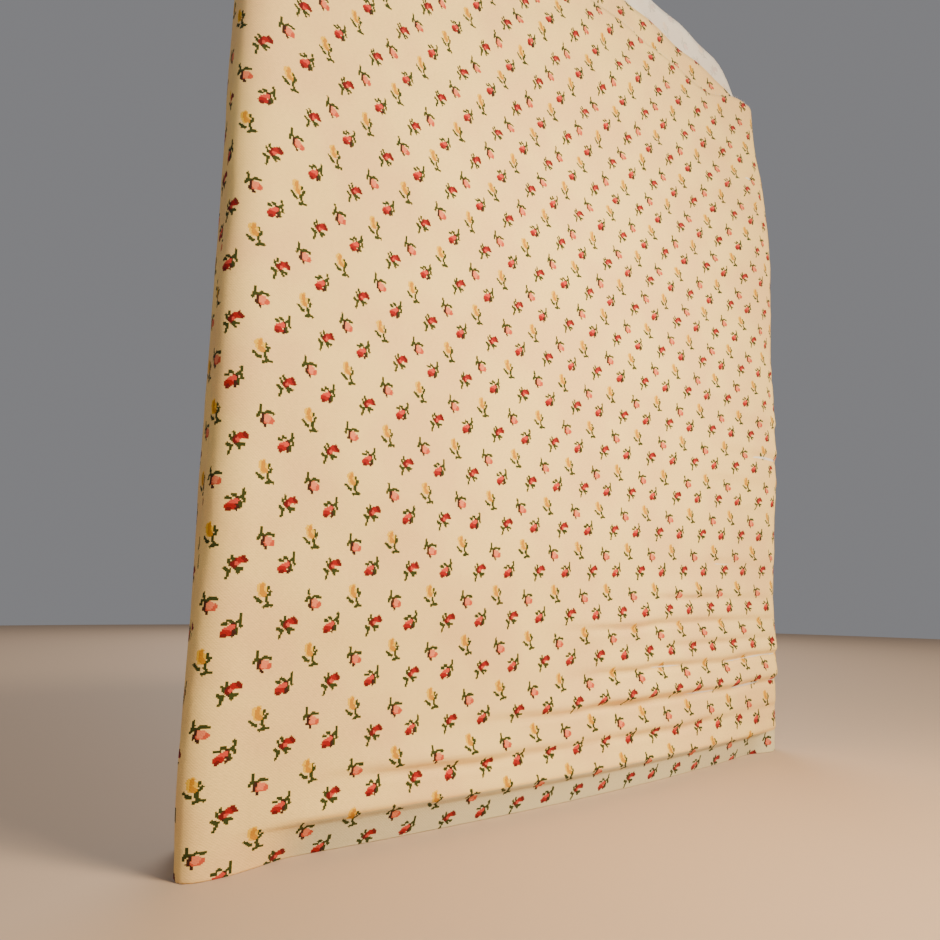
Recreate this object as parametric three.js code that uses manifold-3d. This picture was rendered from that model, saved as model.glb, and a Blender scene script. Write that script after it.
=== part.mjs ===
// A flat-fold fabric bolt, standing on its lower end.
// Millimetres, +Z up. The printed front faces -Y and the loose tail of the cloth lies on the back, +Y.
// Cloth folded double is wound round a flat paperboard tube whose two ends close with tuck flaps.
import * as THREE from 'three';
import { mergeVertices } from 'three/addons/utils/BufferGeometryUtils.js';
import Module from 'manifold-3d';

// Driving dimensions

const gap = 0.3; // air between two pieces that touch on the real bolt
const tidyEdge = 1; // how far a cutting block runs past what it cuts

const board = {
  width: 267, // X, across the two folds of the cloth
  thickness: 14, // Y
  recess: 16, // each end of the board sits this far inside the end of the cloth
  sheet: 1.2, // paperboard thickness
  corner: 1.0, // outside radius of a crease
};

const stiffener = {
  sheet: 1.2,
  ridges: 9, // folds of the zigzag insert
  endRoom: 38, // left free at each end for the dust flaps to swing in
};

const closure = {
  sheet: 1.2,
  backInset: 0.8, // the crease sits this far in from the back face of the board
};

const tongue = {
  sheet: 0.8,
  length: 12,
  frontRoom: 1.2, // air to the front panel, taken up as the tongue is drawn out
};

const dustFlap = { sheet: 0.8, length: 28 };

const label = { width: 60, depth: 9, sheet: 0.3 };

const tape = { width: 22, height: 40, sheet: 0.3, count: 3, inset: 6 };

const cloth = {
  height: 340, // folded edge at the bottom to the raw edges at the top
  ply: 0.4,
  firstTurn: 1.0, // air between the board and the first turn
  innerStack: 5.9, // the inner turns pressed together
  sideLooseness: 1.2, // a turn grows this much more at a fold than on a face
  foldRounding: 0.5, // how fast the flat of a fold gives way to a full round
};

// How far the raw upper edge of each layer stands above the outer printed one
const stagger = {
  inner: 2,
  secondReverse: 20, // wrong side out
  secondPrinted: 6,
  outerReverse: -3,
};

const tail = {
  edge: -60, // X of the cut edge that ends the cloth
  lift: 1, // the tail hangs this far above the surface the bolt stands on
};

const pin = {
  wire: 1.0, // diameter
  length: 38,
  point: 5, // length of the tapered point
  headWire: 1.6,
  headLength: 10,
  reach: 24, // from the cut edge of the tail to the head
  dip: THREE.MathUtils.degToRad(4), // the shaft slopes into the cloth
  spacing: 120,
  sides: 8,
};

const arcSteps = 6;

// Values that follow from them

const boardBase = board.recess;
const boardTop = cloth.height - board.recess;
const plyPitch = cloth.ply + gap;
const innerBuild = cloth.firstTurn + cloth.innerStack;
const plyBuild = (index) => innerBuild + gap + index * plyPitch;
const builds = {
  secondReverse: plyBuild(0),
  secondPrinted: plyBuild(1),
  outerReverse: plyBuild(2),
  outerPrinted: plyBuild(3),
  tailReverse: plyBuild(4),
  tailPrinted: plyBuild(5),
};
const outerBuild = builds.outerPrinted + cloth.ply;
const backBuild = builds.tailPrinted + cloth.ply;
const backFace = board.thickness / 2 + backBuild;
const pinHeadY = backFace + gap + pin.headWire / 2;
const frontY = -(board.thickness / 2 + outerBuild);
const backY = pinHeadY + pin.headWire / 2;

const material = (color, roughness, metalness = 0) =>
  new THREE.MeshStandardMaterial({ color, roughness, metalness });

const finishes = {
  printed: () => material(0xe4cda5, 0.95),
  reverse: () => material(0xe2dcd2, 0.95),
  paperboard: () => material(0xb59a76, 0.9),
  insert: () => material(0xa58a66, 0.95),
  label: () => material(0xf1efe8, 0.6),
  tape: () => material(0xd9c79b, 0.5),
  steel: () => material(0xc8cacc, 0.3, 1),
};

const bolt = new THREE.Group();
bolt.position.y = -(frontY + backY) / 2;

const wasm = await Module();
wasm.setup();

function add(name, geometry, finish) {
  const mesh = new THREE.Mesh(geometry, finish());
  mesh.name = name;
  bolt.add(mesh);
  return mesh;
}

// Booleans

function toSolid(geometry) {
  const bare = geometry.clone();
  bare.deleteAttribute('normal');
  bare.deleteAttribute('uv');
  const merged = mergeVertices(bare, 1e-4);
  return new wasm.Manifold(
    new wasm.Mesh({
      numProp: 3,
      vertProperties: new Float32Array(merged.attributes.position.array),
      triVerts: new Uint32Array(merged.index.array),
    }),
  );
}

function toGeometry(solid) {
  const mesh = solid.getMesh();
  const geometry = new THREE.BufferGeometry();
  geometry.setAttribute('position', new THREE.BufferAttribute(new Float32Array(mesh.vertProperties), 3));
  geometry.setIndex(new THREE.BufferAttribute(new Uint32Array(mesh.triVerts), 1));
  geometry.computeVertexNormals();
  return geometry;
}

// Blocks and prisms

function block(xRange, yRange, zRange) {
  const size = [xRange, yRange, zRange].map(([low, high]) => high - low);
  const middle = [xRange, yRange, zRange].map(([low, high]) => (high + low) / 2);
  return new THREE.BoxGeometry(...size).translate(...middle);
}

function prism(shape, zRange) {
  const depth = zRange[1] - zRange[0];
  return new THREE.ExtrudeGeometry(shape, { depth, bevelEnabled: false, curveSegments: arcSteps })
    .translate(0, 0, zRange[0]);
}

function traceRounded(path, halfWidth, halfDepth, radius) {
  const cornerX = halfWidth - radius;
  const cornerY = halfDepth - radius;
  const quarter = Math.PI / 2;
  path.moveTo(cornerX, -halfDepth);
  path.absarc(cornerX, -cornerY, radius, -quarter, 0, false);
  path.absarc(cornerX, cornerY, radius, 0, quarter, false);
  path.absarc(-cornerX, cornerY, radius, quarter, 2 * quarter, false);
  path.absarc(-cornerX, -cornerY, radius, 2 * quarter, 3 * quarter, false);
  path.closePath();
  return path;
}

// The outline of a turn whose outside or inside stands `build` proud of the board's face

function turnSize(build) {
  const halfDepth = board.thickness / 2 + build;
  const flat = board.thickness / 2 - board.corner - cloth.foldRounding * build;
  return {
    halfWidth: board.width / 2 + cloth.sideLooseness * build,
    halfDepth,
    radius: halfDepth - Math.max(flat, gap),
  };
}

function traceTurn(path, build) {
  const size = turnSize(build);
  return traceRounded(path, size.halfWidth, size.halfDepth, size.radius);
}

function woundCloth(build, thickness, zRange) {
  const shape = traceTurn(new THREE.Shape(), build + thickness);
  shape.holes.push(traceTurn(new THREE.Path(), build));
  return prism(shape, zRange);
}

// The board: a glued tube, its zigzag insert and its tuck ends

const inside = {
  left: -board.width / 2 + board.sheet,
  right: board.width / 2 - 2 * board.sheet, // the glued lap doubles this side wall
  front: -board.thickness / 2 + board.sheet,
  back: board.thickness / 2 - board.sheet,
};

function coreTube() {
  const shape = traceRounded(new THREE.Shape(), board.width / 2, board.thickness / 2, board.corner);
  const hollow = new THREE.Path();
  hollow.moveTo(inside.left, inside.front);
  hollow.lineTo(inside.right, inside.front);
  hollow.lineTo(inside.right, inside.back);
  hollow.lineTo(inside.left, inside.back);
  hollow.closePath();
  shape.holes.push(hollow);
  return prism(shape, [boardBase, boardTop]);
}

function coreStiffener() {
  const left = inside.left + gap;
  const pitch = (inside.right - gap - left) / stiffener.ridges;
  const reach = inside.back - gap - stiffener.sheet; // height of a ridge's middle line
  const half = (stiffener.sheet / 2) * Math.hypot(1, (2 * reach) / pitch);
  const ridge = (index) => [left + index * pitch, index % 2 === 0 ? -reach : reach];
  const shape = new THREE.Shape();
  for (let index = 0; index <= stiffener.ridges; index += 1) {
    const [x, y] = ridge(index);
    if (index === 0) shape.moveTo(x, y - half);
    else shape.lineTo(x, y - half);
  }
  for (let index = stiffener.ridges; index >= 0; index -= 1) {
    const [x, y] = ridge(index);
    shape.lineTo(x, y + half);
  }
  shape.closePath();
  return prism(shape, [boardBase + stiffener.endRoom, boardTop - stiffener.endRoom]);
}

// Each end is written for the top and mirrored for the bottom: `at` turns a height above the
// board's rim into a Z range.

const ends = [
  { name: 'top', at: (low, high) => [boardTop + low, boardTop + high] },
  { name: 'bottom', at: (low, high) => [boardBase - high, boardBase - low] },
];

const sideGap = board.sheet; // the flap is one sheet narrower than the tube at each side
const flapWidth = [-board.width / 2 + sideGap, board.width / 2 - sideGap];
const tongueY = inside.front + tongue.frontRoom;
const tongueWidth = [inside.left + dustFlap.length + 2 * gap, inside.right - dustFlap.length - 2 * gap];

for (const end of ends) {
  add(
    `closure_flap_${end.name}`,
    block(
      flapWidth,
      [-board.thickness / 2 + gap, board.thickness / 2 - closure.backInset],
      end.at(gap, gap + closure.sheet),
    ),
    finishes.paperboard,
  );
  add(
    `tuck_tongue_${end.name}`,
    block(tongueWidth, [tongueY, tongueY + tongue.sheet], end.at(-tongue.length, 0)),
    finishes.paperboard,
  );
  const flapDepth = [inside.front + gap, inside.back - gap];
  const flapHeight = end.at(-dustFlap.sheet, 0);
  const leftFlap = [inside.left + gap, inside.left + gap + dustFlap.length];
  const rightFlap = [inside.right - gap - dustFlap.length, inside.right - gap];
  add(`dust_flap_${end.name}_left`, block(leftFlap, flapDepth, flapHeight), finishes.paperboard);
  add(`dust_flap_${end.name}_right`, block(rightFlap, flapDepth, flapHeight), finishes.paperboard);
}

add('core_tube', coreTube(), finishes.paperboard);
add('core_stiffener', coreStiffener(), finishes.insert);

const labelBase = 2 * gap + closure.sheet;
add(
  'end_label',
  block(
    [-label.width / 2, label.width / 2],
    [-label.depth / 2 - closure.backInset / 2, label.depth / 2 - closure.backInset / 2],
    ends[0].at(labelBase, labelBase + label.sheet),
  ),
  finishes.label,
);

// Paper tapes that hold the start of the cloth to the back of the board

const tapeNames = ['start_tape_bottom', 'start_tape_middle', 'start_tape_top'];
for (let index = 0; index < tape.count; index += 1) {
  const middle = boardBase + ((boardTop - boardBase) * (index + 1)) / (tape.count + 1);
  add(
    tapeNames[index],
    block(
      [-board.width / 2 + tape.inset, -board.width / 2 + tape.inset + tape.width],
      [board.thickness / 2 + gap, board.thickness / 2 + gap + tape.sheet],
      [middle - tape.height / 2, middle + tape.height / 2],
    ),
    finishes.tape,
  );
}

// The pins that hold the tail: each lies almost flat, dips under the cut edge and has a T head

function pinAt(height) {
  const radius = pin.wire / 2;
  const profile = [
    new THREE.Vector2(0, -pin.length),
    new THREE.Vector2(radius, -pin.length + pin.point),
    new THREE.Vector2(radius, 0),
    new THREE.Vector2(0, 0),
  ];
  const shaft = new THREE.LatheGeometry(profile, pin.sides);
  const barLength = pin.headLength - pin.headWire;
  const head = new THREE.CapsuleGeometry(pin.headWire / 2, barLength, 2, pin.sides).rotateX(Math.PI / 2);
  // the shaft points along -X, then dips towards the cloth
  shaft.rotateZ(-Math.PI / 2).rotateZ(pin.dip);
  const whole = toSolid(shaft).add(toSolid(head));
  return toGeometry(whole).translate(tail.edge + pin.reach, pinHeadY, height);
}

// A slot for a pin's shaft, open towards +Y so that the tail can lift with its pins

function pinSlot(height, xRange) {
  const half = pin.wire / 2 + gap;
  const deepest = pinHeadY - pin.length * Math.sin(pin.dip) - pin.wire;
  return toSolid(block(xRange, [deepest, backY + tidyEdge], [height - half, height + half]));
}

function withPinSlots(geometry, xRange) {
  let solid = toSolid(geometry);
  for (const height of pinHeights) solid = solid.subtract(pinSlot(height, xRange));
  return toGeometry(solid);
}

const pinNames = ['tail_pin_bottom', 'tail_pin_middle', 'tail_pin_top'];
const pinHeights = [-1, 0, 1].map((step) => cloth.height / 2 + step * pin.spacing);
pinNames.forEach((name, index) => add(name, pinAt(pinHeights[index]), finishes.steel));

// The cloth, folded double with its printed side out

const underTail = [tail.edge + pin.reach - pin.length - tidyEdge, tail.edge + tidyEdge];
const throughTail = [tail.edge - tidyEdge, tail.edge + pin.reach - pin.headWire];

function turn(build, thickness, proud) {
  return woundCloth(build, thickness, [0, cloth.height + proud]);
}

const innerTurns = turn(cloth.firstTurn, cloth.innerStack, stagger.inner);
const secondReverse = turn(builds.secondReverse, cloth.ply, stagger.secondReverse);
const secondPrinted = turn(builds.secondPrinted, cloth.ply, stagger.secondPrinted);
const outerReverse = turn(builds.outerReverse, cloth.ply, stagger.outerReverse);
const outerPrinted = turn(builds.outerPrinted, cloth.ply, 0);

add('inner_turns', innerTurns, finishes.reverse);
add('second_turn_reverse_ply', secondReverse, finishes.reverse);
add('second_turn_printed_ply', secondPrinted, finishes.printed);
add('outer_turn_reverse_ply', withPinSlots(outerReverse, underTail), finishes.reverse);
add('outer_turn_printed_ply', withPinSlots(outerPrinted, underTail), finishes.printed);

const outerSize = turnSize(outerBuild);
const tailRoot = outerSize.halfWidth - outerSize.radius; // where the right fold turns on to the back
for (const [name, build, finish] of [
  ['tail_reverse_ply', builds.tailReverse, finishes.reverse],
  ['tail_printed_ply', builds.tailPrinted, finishes.printed],
]) {
  const face = board.thickness / 2 + build;
  const flat = block([tail.edge, tailRoot], [face, face + cloth.ply], [tail.lift, cloth.height]);
  add(name, withPinSlots(flat, throughTail), finish);
}

export default bolt;
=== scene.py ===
# %% [markdown]
# # A flat-fold fabric bolt
# Quilting cotton is sold wound flat round a paperboard core. The cloth is folded double first, with
# its printed side out, so every turn is two plies deep. The bolt here stands on its folded edge.
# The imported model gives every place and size, so the first cell loads it and keeps its box.

# %% Load the frame
import math

import bpy
import numpy as np
from mathutils import Euler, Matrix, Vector


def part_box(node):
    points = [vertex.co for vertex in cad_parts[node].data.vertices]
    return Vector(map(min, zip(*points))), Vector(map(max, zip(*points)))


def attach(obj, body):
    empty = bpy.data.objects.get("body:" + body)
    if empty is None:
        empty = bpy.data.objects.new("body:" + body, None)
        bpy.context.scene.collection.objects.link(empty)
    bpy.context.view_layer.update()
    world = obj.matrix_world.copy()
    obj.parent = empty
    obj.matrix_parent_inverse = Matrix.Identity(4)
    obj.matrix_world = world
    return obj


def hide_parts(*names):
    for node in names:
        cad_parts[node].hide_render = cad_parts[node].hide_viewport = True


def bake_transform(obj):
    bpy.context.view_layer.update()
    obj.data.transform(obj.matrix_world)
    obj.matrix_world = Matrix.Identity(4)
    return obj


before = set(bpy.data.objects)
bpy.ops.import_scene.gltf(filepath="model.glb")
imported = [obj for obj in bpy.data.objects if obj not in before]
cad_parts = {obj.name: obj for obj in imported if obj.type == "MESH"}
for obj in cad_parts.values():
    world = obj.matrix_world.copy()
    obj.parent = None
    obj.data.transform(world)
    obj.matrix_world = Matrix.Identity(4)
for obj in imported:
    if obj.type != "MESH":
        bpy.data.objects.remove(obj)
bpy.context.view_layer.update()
MM = 0.001
outer_low, outer_high = (np.array(corner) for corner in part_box("outer_turn_printed_ply"))
tail_low, tail_high = (np.array(corner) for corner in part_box("tail_printed_ply"))
inner_low, inner_high = (np.array(corner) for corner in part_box("inner_turns"))
board_low, board_high = (np.array(corner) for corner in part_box("core_tube"))


def link(thing):
    """Puts an object into the scene."""
    bpy.context.scene.collection.objects.link(thing)
    return thing


print("outer turn", outer_low.round(4), outer_high.round(4))


# %% [markdown]
# ## Camera and room
# The bolt is seen from close by and from low down, off to the left, so that its upper corners lean
# away. The camera's place is set from the front left foot of the bolt, and its turn is three plain
# angles. Its place, turn, lens and shift were solved for by least squares. The room is a pale floor
# in a grey surround. A key lamp stands high on the right, a warm one close to the front so that the
# middle is brightest, a cool one on the left and a wide one behind.

# %% Camera, floor and lights
CAMERA_OUT = Vector((-0.0592, -0.1855, 0.0696))  # from the foot of the left fold's front
CAMERA_YAW, CAMERA_TILT, CAMERA_ROLL = 38.16, 8.62, 0.88
CAMERA_LENS, CAMERA_SHIFT = 27.12, (0.0012, 0.0233)
FLOOR_RADIUS, FLOOR_COLOUR = 1.6, (0.45, 0.32, 0.22, 1)
SURROUND_COLOUR, SURROUND_STRENGTH = (0.42, 0.42, 0.44, 1), 0.52
# each lamp: name, place, aim, size, power, colour
LAMPS = [
    ("key", (0.40, -0.75, 0.95), (0.0, 0.0, 0.15), 0.28, 10.0, (1.0, 0.84, 0.60)),
    ("cool side", (-0.45, -0.35, 0.55), (-0.10, 0.0, 0.28), 0.12, 0.9, (0.66, 0.82, 1.0)),
    ("warm glow", (0.0, -0.28, 0.21), (0.0, 0.0, 0.10), 0.12, 1.9, (1.0, 0.85, 0.62)),
    ("back", (0.6, 0.9, 0.8), (0.0, 0.0, 0.15), 0.9, 11.0, (1.0, 0.95, 0.9)),
]


def add_camera():
    data = bpy.data.cameras.new("camera")
    data.lens, data.sensor_width = CAMERA_LENS, 36.0
    data.shift_x, data.shift_y = CAMERA_SHIFT
    data.clip_start = 0.01
    camera = link(bpy.data.objects.new("camera", data))
    foot = Vector((outer_low[0], outer_low[1], 0))
    camera.location = foot + CAMERA_OUT
    turned = Euler((math.radians(90 + CAMERA_TILT), 0, math.radians(-CAMERA_YAW))).to_matrix()
    rolled = Euler((0, 0, math.radians(CAMERA_ROLL))).to_matrix()
    camera.rotation_euler = (turned @ rolled).to_euler()
    bpy.context.scene.camera = camera


def add_area_light(name, place, aim, size, power, colour):
    data = bpy.data.lights.new(name, "AREA")
    data.shape, data.size, data.energy, data.color = "DISK", size, power, colour
    light = bpy.data.objects.new(name, data)
    light.location = place
    light.rotation_euler = (Vector(aim) - Vector(place)).to_track_quat("-Z", "Y").to_euler()
    link(light)


def add_floor():
    bpy.ops.mesh.primitive_circle_add(vertices=96, radius=FLOOR_RADIUS, fill_type="NGON")
    floor = bpy.context.object
    floor.name = "floor"
    material = bpy.data.materials.new("pale_floor")
    material.use_nodes = True
    shader = material.node_tree.nodes["Principled BSDF"]
    shader.inputs["Base Color"].default_value = FLOOR_COLOUR
    shader.inputs["Roughness"].default_value = 0.7
    floor.data.materials.append(material)


def add_surround():
    world = bpy.data.worlds.new("room")
    bpy.context.scene.world = world
    world.use_nodes = True
    background = world.node_tree.nodes["Background"]
    background.inputs["Color"].default_value = SURROUND_COLOUR
    background.inputs["Strength"].default_value = SURROUND_STRENGTH


add_camera()
add_floor()
add_surround()
for lamp in LAMPS:
    add_area_light(*lamp)
print("camera at", [round(v, 4) for v in bpy.context.scene.camera.location])


# %% [markdown]
# ## Building shaders
# Every effect that two finishes share is a node group. A small helper keeps the building short: it
# adds a node, sets its plain values and links the rest.

# %% Node helpers
class Tree:
    """Adds nodes to a node tree and links them, one call to a node. Each call gives what it makes."""

    def __init__(self, tree):
        self.tree = tree

    def add(self, kind, inputs=None, **settings):
        node = self.tree.nodes.new(kind)
        for name, value in settings.items():
            setattr(node, name, value)
        for key, value in (inputs or {}).items():
            if isinstance(value, bpy.types.NodeSocket):
                self.tree.links.new(value, node.inputs[key])
            else:
                node.inputs[key].default_value = value
        return node

    def math(self, operation, *values, clamp=False):
        inputs = dict(enumerate(values))
        return self.add("ShaderNodeMath", inputs, operation=operation, use_clamp=clamp).outputs[0]

    def times(self, one, other, clamp=False):
        return self.math("MULTIPLY", one, other, clamp=clamp)

    def times_plus(self, one, other, added):
        return self.math("MULTIPLY_ADD", one, other, added)

    def plus(self, one, other):
        return self.math("ADD", one, other)

    def minus(self, one, other, clamp=False):
        return self.math("SUBTRACT", one, other, clamp=clamp)

    def vector(self, operation, *values):
        node = self.add("ShaderNodeVectorMath", dict(enumerate(values)), operation=operation)
        name = "Value" if operation in ("DOT_PRODUCT", "LENGTH", "DISTANCE") else "Vector"
        return node.outputs[name]

    def scaled(self, vector, factor):
        inputs = {0: vector, "Scale": factor}
        return self.add("ShaderNodeVectorMath", inputs, operation="SCALE").outputs["Vector"]

    def noise(self, place, scale, detail):
        inputs = {"Vector": place, "Scale": scale, "Detail": detail}
        return self.add("ShaderNodeTexNoise", inputs).outputs[0]

    def bump(self, height, strength, distance):
        inputs = {"Height": height, "Strength": strength, "Distance": distance}
        return self.add("ShaderNodeBump", inputs).outputs[0]

    def feed(self, value, socket):
        self.tree.links.new(value, socket)

    def mix(self, factor, low, high):
        node = self.add("ShaderNodeMix", {0: factor, 6: low, 7: high}, data_type="RGBA")
        return node.outputs[2]

    def join(self, x, y):
        return self.add("ShaderNodeCombineXYZ", {0: x, 1: y}).outputs[0]

    def split(self, vector):
        return self.add("ShaderNodeSeparateXYZ", {0: vector}).outputs


def new_group(name, inputs, outputs):
    """A shader node group: inputs and outputs are (name, socket type, default)."""
    tree = bpy.data.node_groups.new(name, "ShaderNodeTree")
    for title, kind, default in inputs:
        socket = tree.interface.new_socket(title, in_out="INPUT", socket_type="NodeSocket" + kind)
        if default is not None:
            socket.default_value = default
    for title, kind in outputs:
        tree.interface.new_socket(title, in_out="OUTPUT", socket_type="NodeSocket" + kind)
    build = Tree(tree)
    return build, build.add("NodeGroupInput").outputs, build.add("NodeGroupOutput")


def new_material(name):
    """A material, a builder for its tree, and its shader node."""
    material = bpy.data.materials.new(name)
    material.use_nodes = True
    return material, Tree(material.node_tree), material.node_tree.nodes["Principled BSDF"]


def rgba(red, green, blue):
    """A colour given as it looks on a screen, 0 to 255, as the shader wants it."""
    return tuple(((part / 255 + 0.055) / 1.055) ** 2.4 for part in (red, green, blue)) + (1.0,)


# %% [markdown]
# ## The print
# The print is four little buds set on a slanting grid: two red ones take turns along one row, and a
# yellow and a pink one along the row between. Each bud is a few strokes, drawn and given in
# millimetres from the bud's own grid point, that a node chain paints one after another. A picture
# could hold the print, but strokes stay sharp at any size.

# %% The buds, as strokes
LEAF, BARK, RED, CRIMSON, BLUSH = "leaf", "bark", "red", "crimson", "blush"
SALMON, SHELL, OCHRE, STRAW = "salmon", "shell", "ochre", "straw"
INKS = {
    LEAF: rgba(48, 56, 12),
    BARK: rgba(54, 22, 8),
    RED: rgba(146, 14, 12),
    CRIMSON: rgba(100, 10, 8),
    BLUSH: rgba(196, 62, 48),
    SALMON: rgba(190, 74, 48),
    SHELL: rgba(220, 118, 80),
    OCHRE: rgba(192, 128, 14),
    STRAW: rgba(226, 174, 38),
}

# each stroke: ink, from x, from y, to x, to y, half width
UPRIGHT_RED = [
    (BARK, -1.0, 0.3, 0.3, -0.7, 0.50), (LEAF, -1.8, 1.4, -1.2, 0.1, 0.25),
    (LEAF, -0.95, 2.3, -0.75, 1.5, 0.28), (LEAF, -2.3, -0.8, -1.4, -1.4, 0.38),
    (LEAF, -1.0, -1.2, -1.65, -3.4, 0.27), (LEAF, 0.6, -0.8, 1.9, -1.0, 0.32),
    (LEAF, 0.5, -1.2, 1.0, -1.9, 0.30), (CRIMSON, -0.3, 0.1, 0.6, 1.2, 0.75),
    (BLUSH, 0.4, 0.3, 1.2, 1.2, 0.45), (RED, 0.9, 1.4, 2.1, 1.2, 0.70),
    (CRIMSON, 1.7, 2.1, 2.6, 0.9, 0.38),
]
LEANING_RED = [
    (BARK, 0.2, 0.9, 0.8, -1.2, 0.52), (LEAF, 1.0, -0.1, 1.2, -1.3, 0.28),
    (BARK, 0.6, -1.2, 0.3, -1.9, 0.28), (LEAF, -2.4, 1.2, -1.5, 1.1, 0.30),
    (LEAF, -1.2, 2.0, -0.5, 1.8, 0.33), (LEAF, 1.45, 3.4, 1.65, 2.2, 0.27),
    (LEAF, 1.65, 2.2, 0.8, 1.4, 0.30), (LEAF, 1.45, 1.5, 1.95, 0.3, 0.30),
    (BLUSH, -1.5, -0.4, -0.1, 0.3, 0.60), (RED, -1.9, -1.1, -0.8, -1.2, 0.70),
    (CRIMSON, -1.8, -1.9, -1.4, -1.9, 0.42),
]
YELLOW = [
    (LEAF, 1.4, 2.0, 1.2, 1.2, 0.28), (LEAF, 2.1, 1.0, 1.8, 0.1, 0.33),
    (LEAF, -1.8, -0.5, -0.9, -1.1, 0.28), (LEAF, -0.8, -1.4, 0.0, -1.7, 0.38),
    (LEAF, 1.3, -0.7, 1.3, -1.4, 0.33), (LEAF, 1.3, -1.4, 2.2, -2.6, 0.28),
    (LEAF, 1.0, -3.0, 1.9, -2.7, 0.36), (LEAF, 2.2, -2.6, 3.0, -2.7, 0.28),
    (STRAW, -0.6, 2.2, 0.0, 0.5, 0.95), (STRAW, -0.1, 3.0, -0.2, 2.4, 0.45),
    (STRAW, 0.4, 1.7, 0.5, 0.9, 0.60),
    (OCHRE, -0.1, 2.6, -0.3, 1.7, 0.45), (OCHRE, 0.0, 0.7, 0.6, 0.2, 0.55),
]
PINK = [
    (LEAF, -0.7, 1.45, -0.5, 0.35, 0.27), (LEAF, -1.1, -1.45, -0.8, -0.45, 0.32),
    (LEAF, -0.5, -0.25, 0.2, -0.85, 0.33), (LEAF, 0.4, -0.75, 1.3, 0.0, 0.30),
    (LEAF, 1.3, 0.0, 3.0, -0.35, 0.32), (BARK, 0.3, -1.05, 0.1, -2.9, 0.34),
    (BARK, 0.8, -3.1, 1.2, -3.9, 0.30), (SALMON, 1.5, -2.4, 2.6, -2.4, 0.85),
    (SHELL, 1.3, -1.4, 2.0, -1.6, 0.55), (SHELL, 1.2, -2.3, 1.8, -2.6, 0.40),
]
print(sum(len(bud) for bud in (UPRIGHT_RED, LEANING_RED, YELLOW, PINK)), "strokes in four buds")


# %% [markdown]
# ## Laying the buds on the cloth
# A place on the cloth is turned into column and row numbers of the grid. The grid isn't quite even:
# the columns drift and the rows bow, which is what the small square terms below are for. The slopes
# and terms are a least-squares fit to measured places of the buds, not values chosen by hand.
# Rounding the numbers gives the nearest grid point, what is left over is the place inside one bud,
# and whether column plus row is even or odd says which of two buds it is.

# %% The print group
THREAD = 0.36  # millimetres between threads; the ink's edge steps from thread to thread
CELL_U, CELL_V = (13.6, 0.3), (2.06, -16.2)  # one column over, one row down, in millimetres
# column and row number, from decimetres along and up the cloth: fitted slopes, then fitted terms
COLUMN_DRIFT = {"start": 0.31, "along": 7.49, "up": -0.01}
COLUMN_PULL = {"skew": 0.33, "bow": 0.236, "crowd": -0.105, "twist": -0.105}
ROW_DRIFT = {"start": 4.403, "along": 0.533, "up": -5.758}
ROW_PULL = {"skew": -0.711, "bow": -0.006, "crowd": -0.041, "twist": 0.253}
FACE_LENGTH = 2.6  # decimetres over which the pull was uneven
DECIMETRES = 10.0  # in a metre
INK_SPREAD = 0.13  # how far the wet ink crept past each stroke, in millimetres
OUT_OF_SIGHT = (90.0, 0, 0)  # further than any stroke of a bud reaches


def grid_number(build, drift, pull, along, held, up):
    """A column or row number: the drift, then held*up, up*up, held**3 and held*held*up."""
    total = build.times_plus(along, drift["along"], drift["start"])
    total = build.times_plus(up, drift["up"], total)
    cross = build.times(held, up)
    total = build.times_plus(cross, pull["skew"], total)
    total = build.times_plus(build.times(cross, held), pull["twist"], total)
    total = build.times_plus(build.times(up, up), pull["bow"], total)
    return build.times_plus(build.math("POWER", held, 3.0), pull["crowd"], total)


def paint(build, colour, mask, place, strokes):
    """Paints strokes over colour, and gathers where there is ink in mask."""
    for ink, x0, y0, x1, y1, width in strokes:
        start = build.vector("SUBTRACT", place, (x0, y0, 0))
        run = (x1 - x0, y1 - y0, 0)
        share = build.vector("DOT_PRODUCT", start, run)
        length2 = max(run[0] ** 2 + run[1] ** 2, 1e-6)
        share = build.times(share, 1 / length2, clamp=True)
        away = build.vector("DISTANCE", start, build.scaled(run, share))
        inside = build.math("LESS_THAN", away, width + INK_SPREAD)
        colour = build.mix(inside, colour, INKS[ink])
        mask = build.math("MAXIMUM", mask, inside)
    return colour, mask


def bud_place(build, column, row, shift):
    """Place inside the nearest bud, and 1 where column plus row is odd."""
    near = [build.math("ROUND", build.minus(value, shift)) for value in (column, row)]
    odd = build.math("FLOORED_MODULO", build.plus(near[0], near[1]), 2.0)
    left = [
        build.minus(build.minus(value, shift), whole)
        for value, whole in zip((column, row), near)
    ]
    across = build.times_plus(left[0], CELL_U[0], build.times(left[1], CELL_V[0]))
    upward = build.times_plus(left[0], CELL_U[1], build.times(left[1], CELL_V[1]))
    return build.join(across, upward), odd


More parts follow.
